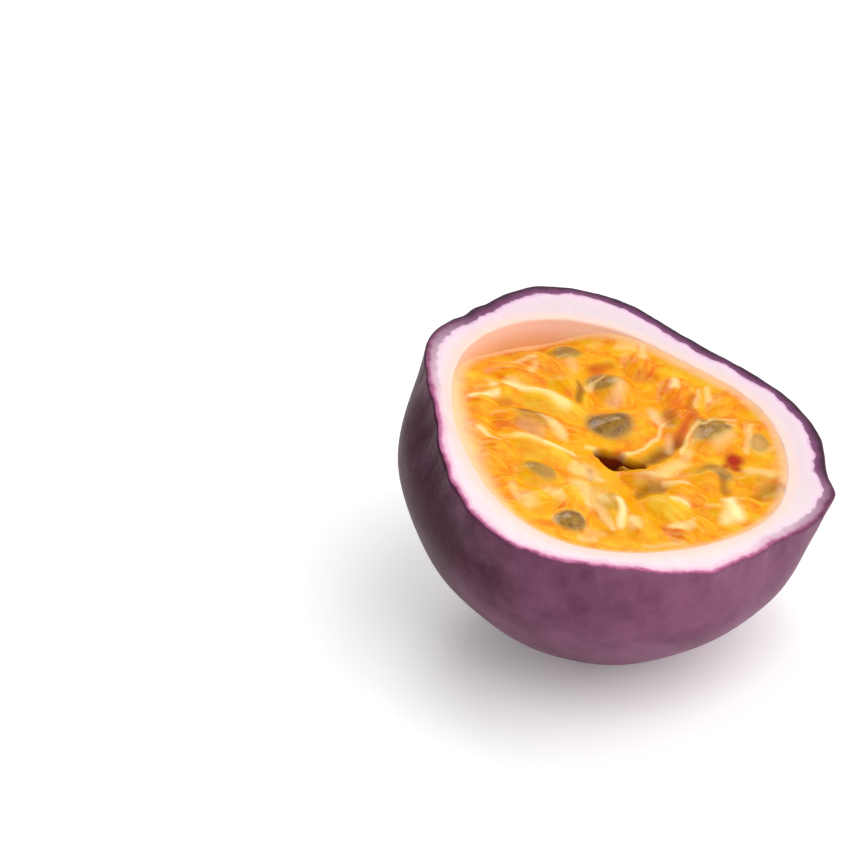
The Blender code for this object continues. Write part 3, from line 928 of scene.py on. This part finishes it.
def filled_hollow(segments, inset, top_rule):
    """Closed mesh that fills the rind's hollow, with a fine even net over its top."""
    bm = bmesh.new()
    bmesh.ops.create_grid(bm, x_segments=segments, y_segments=segments, size=1.0)
    places = np.array([v.co for v in bm.verts])
    angles, shares = disc_place(places[:, 0], places[:, 1])
    radii = shares * (cavity_radius(angles, edge_level(angles)) - inset)
    top_rule(bm, radii * np.cos(angles), radii * np.sin(angles), angles, radii)
    around = bm.verts.layers.float.new("around")
    for vert, angle in zip(bm.verts, angles):
        vert[around] = angle
    edges = [e for e in bm.edges if e.is_boundary]
    for edge in edges:
        edge.smooth = False
    pole = math.radians(90) * (1.0 - POLE_SHARE)
    for share in between(0.0, 1.0, SIDE_RINGS)[1:]:
        verts, edges = grow_rim(bm, edges)
        angles = np.array([v[around] for v in verts])
        start = np.arcsin((edge_level(angles) + SKIRT_DROP) / CAVITY_DEPTH)
        latitude = start + (pole - start) * share
        radii = (radius_at(CAVITY, angles) - inset) * np.cos(latitude)
        points = face_points(angles, radii, (CAVITY_DEPTH - inset) * np.sin(latitude))
        for vert, point in zip(verts, points):
            vert.co = point
    close_rim(bm, edges)
    return bm


def place_top(bm, x, y, heights, marks):
    """Moves each point of a top to its place, and keeps there what its colours follow."""
    for i, vert in enumerate(bm.verts):
        vert.co = (x[i], y[i], heights[i])
    for name, values in marks.items():
        layer = bm.verts.layers.float.new(name)
        for vert, value in zip(bm.verts, values):
            vert[layer] = value


def sac_top(bm, x, y, angles, radii, settings):
    """Places the clear top of the pulp, with its strands and its climb at the rind."""
    top, flow, marks = pulp_surface(x, y, settings.crease / MM)
    strands = noise_at(flow / (STRAND_LENGTH, STRAND_WIDTH, 1.0), 1.0)
    fine = noise_at(np.stack([x, y, top], axis=-1), FINE_WRINKLE_SIZE)
    to_wall = cavity_radius(angles, edge_level(angles)) - radii
    climb = settings.meniscus / MM * np.exp(-np.maximum(to_wall, 0.0) / MENISCUS_REACH)
    calm = (1.0 - marks["crease"]) * (1.0 - marks["heart"])
    calm = calm * (1.0 - fade(to_wall, MENISCUS_REACH))
    wrinkles = strands * calm + FINE_WRINKLE_SHARE * fine
    top = top + settings.wrinkle / MM * wrinkles + climb
    left = np.exp(-0.5 * (off_heading(angles, MEMBRANE_TOWARDS) / MEMBRANE_SPREAD) ** 2)
    reach = MEMBRANE_REACH + (MEMBRANE_REACH_LEFT - MEMBRANE_REACH) * left
    reach = reach + MEMBRANE_FRAY * strands
    marks["edge"] = (MEMBRANE_SHARE + MEMBRANE_SHARE_LEFT * left) * fade(to_wall, reach)
    place_top(bm, x, y, top, marks)
    flow_layer = bm.verts.layers.float_vector.new("flow")
    for vert, place in zip(bm.verts, flow):
        vert[flow_layer] = place


def bed_top(bm, x, y, angles, radii, settings):
    """Places the cloudy bed under the clear jelly."""
    top, _, marks = pulp_surface(x, y, settings.crease / MM)
    below = settings.clear_depth / MM * (1.0 - HEART_JELLY_LOSS * marks["heart"])
    place_top(bm, x, y, top - below, {"heart": marks["heart"]})


JUICE_CLOUD_SIZE = 2.4
JUICE_RIPPLE_SIZE = 0.9
STREAK_LENGTH = 3.6
FIBRE_LENGTH = 5.0
FIBRE_WIDTH = 1.1
FIBRE_OFFSET = 20.0
STREAK_TONE = 0.32
CLOUD_TONE = 0.25
CREASE_PAINTED_SHADE = 0.2
HEART_SPAN = {"From Min": 0.05, "From Max": 0.3}
BED_CLOUD_SIZE = 3.0


def juice_material(settings):
    """Ripe passion fruit juice sacs: clear wet jelly in thin cloudy skins, grown.

    They shine softly, let the seeds show darkly, and run from pale yellow to deep orange, with
    painted shade deepening the orange in their creases, fine paler fibres along each sac, and
    scraps of pale membrane among painted wet highlights.
    """
    material, tree, shader = new_material("passion_fruit_juice_sacs_wet")
    marks = {name: add_node(tree, "Attribute", output="Fac", attribute_name=name)
             for name in ("tone", "crease", "edge", "pale", "pink", "brown", "red", "heart",
                          "window")}
    place = add_node(tree, "TexCoord", output="Object")
    flow = add_node(tree, "Attribute", output="Vector", attribute_name="flow")
    streaked, drawn_out = (
        add_node(tree, "Mapping", {
            "Vector": flow, "Location": (offset, offset, 0.0),
            "Scale": (1.0 / length, 1.0 / width, 1.0),
        })
        for offset, length, width in ((0.0, STREAK_LENGTH, 1.0),
                                      (FIBRE_OFFSET, FIBRE_LENGTH, FIBRE_WIDTH))
    )
    streaks, threads, clouds, ripple = (
        add_node(tree, "TexNoise", {"Vector": vector, "Scale": scale, "Detail": detail})
        for vector, scale, detail in (
            (streaked, 1.0, 3.0), (drawn_out, 1.0, 2.0),
            (place, 1.0 / (JUICE_CLOUD_SIZE * MM), 3.0),
            (place, 1.0 / (JUICE_RIPPLE_SIZE * MM), 3.0),
        )
    )
    marks["fibres"] = add_node(tree, "ValToRGB", {"Fac": threads}, stops=(
        (0.45, grey(0.0)), (0.50, grey(0.5)), (0.55, grey(0.0)),
    ))
    # Painted shade in the gap at the heart
    marks["heart"] = add_node(tree, "MapRange", {**HEART_SPAN, "Value": marks["heart"]})
    # Painted shade: the tone runs towards deep orange in the creases between sacs
    tone = add_node(tree, "Math", {
        0: marks["crease"], 1: CREASE_PAINTED_SHADE, 2: marks["tone"],
    }, operation="MULTIPLY_ADD")
    for pattern, reach in ((streaks, STREAK_TONE), (clouds, CLOUD_TONE)):
        wander = add_node(tree, "MapRange", {
            **NOISE_SPAN, "Value": pattern, "To Min": -reach, "To Max": reach,
        })
        tone = add_node(tree, "Math", {0: tone, 1: wander}, operation="ADD")
    base = add_node(tree, "ValToRGB", {"Fac": tone}, stops=(
        (0.0, settings.pale), (0.3, settings.yellow), (0.65, settings.orange), (1.0, settings.deep),
    ))
    # Of these, brown is painted shade, heart is painted shade in the gap, and pale and pink also
    # carry painted highlights
    for name, colour in (("fibres", settings.pale), ("window", settings.seed_jelly),
                         ("brown", settings.brown), ("red", settings.red),
                         ("edge", settings.edge), ("pink", settings.pink),
                         ("pale", settings.membrane), ("heart", settings.heart)):
        base = add_node(tree, "Mix", {
            "Factor": marks[name], "A": base, "B": (*colour, 1.0),
        }, "Result", data_type="RGBA")
    bump = add_node(tree, "Bump", {"Height": ripple, "Strength": 0.3, "Distance": 0.2 * MM})
    jelly = add_node(tree, "MapRange", {"Value": marks["window"], "To Min": settings.clearness})
    cloudy = marks["heart"]
    for name in ("pale", "pink", "edge"):
        cloudy = add_node(tree, "Math", {0: cloudy, 1: marks[name]},
                          operation="MAXIMUM")
    uncovered = add_node(tree, "Math", {0: 1.0, 1: cloudy}, operation="SUBTRACT")
    clear = add_node(tree, "Math", {0: jelly, 1: uncovered}, operation="MULTIPLY")
    fill_inputs(tree, shader, {
        "Base Color": base, "Normal": bump,
        "Transmission Weight": clear, "Roughness": 0.22, "IOR": 1.36,
        "Specular IOR Level": 0.1, "Subsurface Weight": 0.1,
        "Subsurface Radius": (1.0, 0.5, 0.1), "Subsurface Scale": 1.2 * MM,
        "Coat Weight": 0.2, "Coat Roughness": 0.1, "Coat IOR": 1.36,
    })
    return material


def bed_material(settings):
    """Cloudy pulp deep in the fruit: packed sacs and fibres, soft and wet.

    It glows yellow through the jelly above it and is painted dark maroon in the heart as shade.
    """
    material, tree, shader = new_material("passion_fruit_pulp_cloudy")
    place = add_node(tree, "TexCoord", output="Object")
    clouds = add_node(tree, "TexNoise", {
        "Vector": place, "Scale": 1.0 / (BED_CLOUD_SIZE * MM), "Detail": 4.0,
    })
    base = add_node(tree, "ValToRGB", {"Fac": clouds}, stops=(
        (0.35, settings.bed_shade), (0.65, settings.bed),
    ))
    heart = add_node(tree, "Attribute", output="Fac", attribute_name="heart")
    # Painted shade in the gap at the heart
    heart = add_node(tree, "MapRange", {**HEART_SPAN, "Value": heart})
    colour = add_node(tree, "Mix", {
        "Factor": heart, "A": base, "B": (*settings.heart, 1.0),
    }, "Result", data_type="RGBA")
    fill_inputs(tree, shader, {"Base Color": colour, "Roughness": 0.45})
    return material


class FRUIT_OT_bed(bpy.types.Operator):
    """Make the cloudy bed of pulp under the clear sacs"""

    bl_idname = "fruit.bed"
    bl_label = "Pulp bed"

    def execute(self, context):
        settings = context.scene.fruit_pulp
        bm = filled_hollow(BED_SEGMENTS, BED_INSET, lambda *a: bed_top(*a, settings))
        add_piece("pulp_bed", bm, [bed_material(settings)], "pulp")
        return {"FINISHED"}


class FRUIT_OT_sacs(bpy.types.Operator):
    """Make the clear, wet juice sacs that fill the hollow"""

    bl_idname = "fruit.sacs"
    bl_label = "Juice sacs"

    def execute(self, context):
        settings = context.scene.fruit_pulp
        bm = filled_hollow(SAC_SEGMENTS, -INTO_WALL, lambda *a: sac_top(*a, settings))
        add_piece("juice_sacs", bm, [juice_material(settings)], "pulp")
        return {"FINISHED"}


# Seeds

SEED_SEGMENTS = 28
SEED_RINGS = 18
SEED_PIT_SIZE = 0.55
SEED_MOTTLE_SIZE = 1.5
SEED_PIT_SHARE = 0.35
SEED_TAPER = 0.25
SEED_TILT = 5.0
SEED_DRAW = 5


def seed_material(settings):
    """Passion fruit seed: a hard, pitted hull, grown, dull olive brown with a greyish film."""
    material, tree, shader = new_material("passion_fruit_seed_pitted")
    place = add_node(tree, "TexCoord", output="Object")
    pits = add_node(tree, "TexVoronoi", {"Vector": place, "Scale": 1.0 / (SEED_PIT_SIZE * MM)})
    mottle = add_node(tree, "TexNoise", {
        "Vector": place, "Scale": 1.0 / (SEED_MOTTLE_SIZE * MM), "Detail": 2.0,
    })
    shade = add_node(tree, "Math", {
        0: pits, 1: SEED_PIT_SHARE, 2: mottle,
    }, operation="MULTIPLY_ADD")
    colour = add_node(tree, "ValToRGB", {"Fac": shade}, stops=(
        (0.40, settings.pit_colour), (0.65, settings.hull), (0.90, settings.bloom),
    ))
    bump = add_node(tree, "Bump", {"Height": pits, "Strength": 0.5, "Distance": 0.2 * MM})
    fill_inputs(tree, shader, {
        "Base Color": colour, "Normal": bump,
        "Roughness": 0.6, "Specular IOR Level": 0.1,
    })
    return material


def surface_slope(x, y, heading, reach, crease):
    """Slope of the pulp's surface at a place, in radians, along a heading."""
    ends = np.array([-reach, reach])
    tops = pulp_surface(x + ends * math.cos(heading), y + ends * math.sin(heading), crease)[0]
    return math.atan((tops[1] - tops[0]) / (2 * reach))


def jelly_over(verts, crease):
    """Least thickness of the pulp over some points."""
    places = np.array([v.co for v in verts])
    return (pulp_surface(places[:, 0], places[:, 1], crease)[0] - places[:, 2]).min()


class FRUIT_OT_seeds(bpy.types.Operator):
    """Make the seeds that show through the sacs"""

    bl_idname = "fruit.seeds"
    bl_label = "Seeds"

    def execute(self, context):
        settings = context.scene.fruit_seeds
        crease = context.scene.fruit_pulp.crease / MM
        thickness = settings.thickness / MM
        pit = settings.pit / MM
        draw = random.Random(SEED_DRAW)
        bm = bmesh.new()
        for x, y, heading, length, width, cover, _ in SEEDS:
            made = bmesh.ops.create_uvsphere(
                bm, u_segments=SEED_SEGMENTS, v_segments=SEED_RINGS, radius=0.5
            )["verts"]
            offset = Vector((draw.uniform(0, OTHER_NOISE), 0, 0))
            for vert in made:
                vert.co.x *= length
                vert.co.y *= width * (1.0 - SEED_TAPER * vert.co.x / length)
                vert.co.z *= thickness
                vert.co *= 1.0 - pit * abs(noise(vert.co / SEED_PIT_SIZE + offset)) / (width / 2)
            turn = math.radians(heading)
            roll = surface_slope(x, y, turn + math.pi / 2, width / 3, crease)
            pitch = -surface_slope(x, y, turn, length / 3, crease)
            roll, pitch = (slope + math.radians(draw.uniform(-SEED_TILT, SEED_TILT))
                           for slope in (roll, pitch))
            turned = Euler((roll, pitch, turn)).to_matrix().to_4x4()
            bmesh.ops.transform(bm, verts=made, matrix=Matrix.Translation((x, y, 0)) @ turned)
            bmesh.ops.translate(bm, verts=made, vec=(0, 0, jelly_over(made, crease) - cover))
        add_piece("seeds", bm, [seed_material(settings)], "pulp")
        return {"FINISHED"}


# Stage

# Lights: place and width in metres
KEY_PLACE = (0.36, -0.24, 0.62)
KEY_SIZE = 0.9
GLINT_PLACE = (-0.10, 0.45, 0.55)
GLINT_SIZE = 0.32
SKY_LEFT = 0.45
SKY_RIGHT = 1.5
FLOOR_RADIUS = 3.0
FLOOR_SEGMENTS = 96
SENSOR_WIDTH = 36.0
WHITE = (1.0, 1.0, 1.0, 1.0)


def floor_material(settings):
    """White studio table of opal acrylic, matt and softly lit from inside."""
    material, tree, shader = new_material("studio_table_opal_acrylic")
    fill_inputs(tree, shader, {
        "Base Color": (*settings.floor, 1.0), "Roughness": 0.8, "Specular IOR Level": 0.2,
        "Emission Color": WHITE, "Emission Strength": settings.glow,
    })
    return material


def add_area_light(name, place, size, power):
    """Square soft light that shines at the fruit."""
    light = bpy.data.lights.new(name, "AREA")
    light.size = size
    light.energy = power
    obj = add_object(name, light)
    obj.location = place
    obj.rotation_euler = (-Vector(place)).to_track_quat("-Z", "Y").to_euler()


class FRUIT_OT_stage(bpy.types.Operator):
    """Make the white floor, the soft lights and the camera"""

    bl_idname = "fruit.stage"
    bl_label = "Stage"

    def execute(self, context):
        settings = context.scene.fruit_stage
        scene = context.scene
        bm = bmesh.new()
        bmesh.ops.create_circle(bm, segments=FLOOR_SEGMENTS, radius=FLOOR_RADIUS, cap_ends=True)
        floor = add_mesh("floor", bm, [floor_material(settings)])
        add_area_light("key_light", KEY_PLACE, KEY_SIZE, settings.key_power)
        add_area_light("glint_light", GLINT_PLACE, GLINT_SIZE, settings.glint_power)
        world = bpy.data.worlds.new("white_studio")
        world.use_nodes = True
        tree = world.node_tree
        towards = add_node(tree, "TexCoord", output="Generated")
        right = add_node(tree, "SeparateXYZ", {"Vector": towards})
        strength = add_node(tree, "MapRange", {
            "Value": right, "From Min": -1.0, "To Min": SKY_LEFT * settings.sky,
            "To Max": SKY_RIGHT * settings.sky,
        })
        fill_inputs(tree, tree.nodes["Background"], {"Color": WHITE, "Strength": strength})
        scene.world = world
        scene.view_settings.view_transform = "Standard"
        camera = add_object("camera", bpy.data.cameras.new("camera"))
        pixels_focal = PIXELS_PER_MM * VIEW_DISTANCE / MM
        camera.data.lens = pixels_focal * SENSOR_WIDTH / IMAGE_SIZE
        camera.data.sensor_width = SENSOR_WIDTH
        camera.location = camera_place()
        camera.rotation_euler = (math.radians(90 - VIEW_ELEVATION), 0, 0)
        scene.camera = camera
        return {"FINISHED"}


class FRUIT_PT_panel(bpy.types.Panel):
    """Lists the pieces of the fruit half"""

    bl_idname = "FRUIT_PT_panel"
    bl_label = "Passion fruit half"
    bl_space_type = "VIEW_3D"
    bl_region_type = "UI"
    bl_category = "Fruit"

    def draw(self, context):
        for operator in OPERATORS:
            self.layout.operator(operator.bl_idname)
        for group in SETTINGS:
            box = self.layout.box()
            settings = getattr(context.scene, group)
            for name in settings.__annotations__:
                box.prop(settings, name)


SETTINGS = {
    "fruit_rind": RindSettings,
    "fruit_pulp": PulpSettings,
    "fruit_seeds": SeedSettings,
    "fruit_stage": StageSettings,
}
OPERATORS = (FRUIT_OT_rind, FRUIT_OT_bed, FRUIT_OT_sacs, FRUIT_OT_seeds, FRUIT_OT_stage)
CLASSES = (*SETTINGS.values(), *OPERATORS, FRUIT_PT_panel)


def register():
    for group in CLASSES:
        bpy.utils.register_class(group)
    for name, group in SETTINGS.items():
        setattr(bpy.types.Scene, name, PointerProperty(type=group))


def unregister():
    for name in SETTINGS:
        delattr(bpy.types.Scene, name)
    for group in reversed(CLASSES):
        bpy.utils.unregister_class(group)


def main():
    register()
    bpy.ops.fruit.rind()
    bpy.ops.fruit.bed()
    bpy.ops.fruit.sacs()
    bpy.ops.fruit.seeds()
    bpy.ops.fruit.stage()


if __name__ == "__main__":
    main()
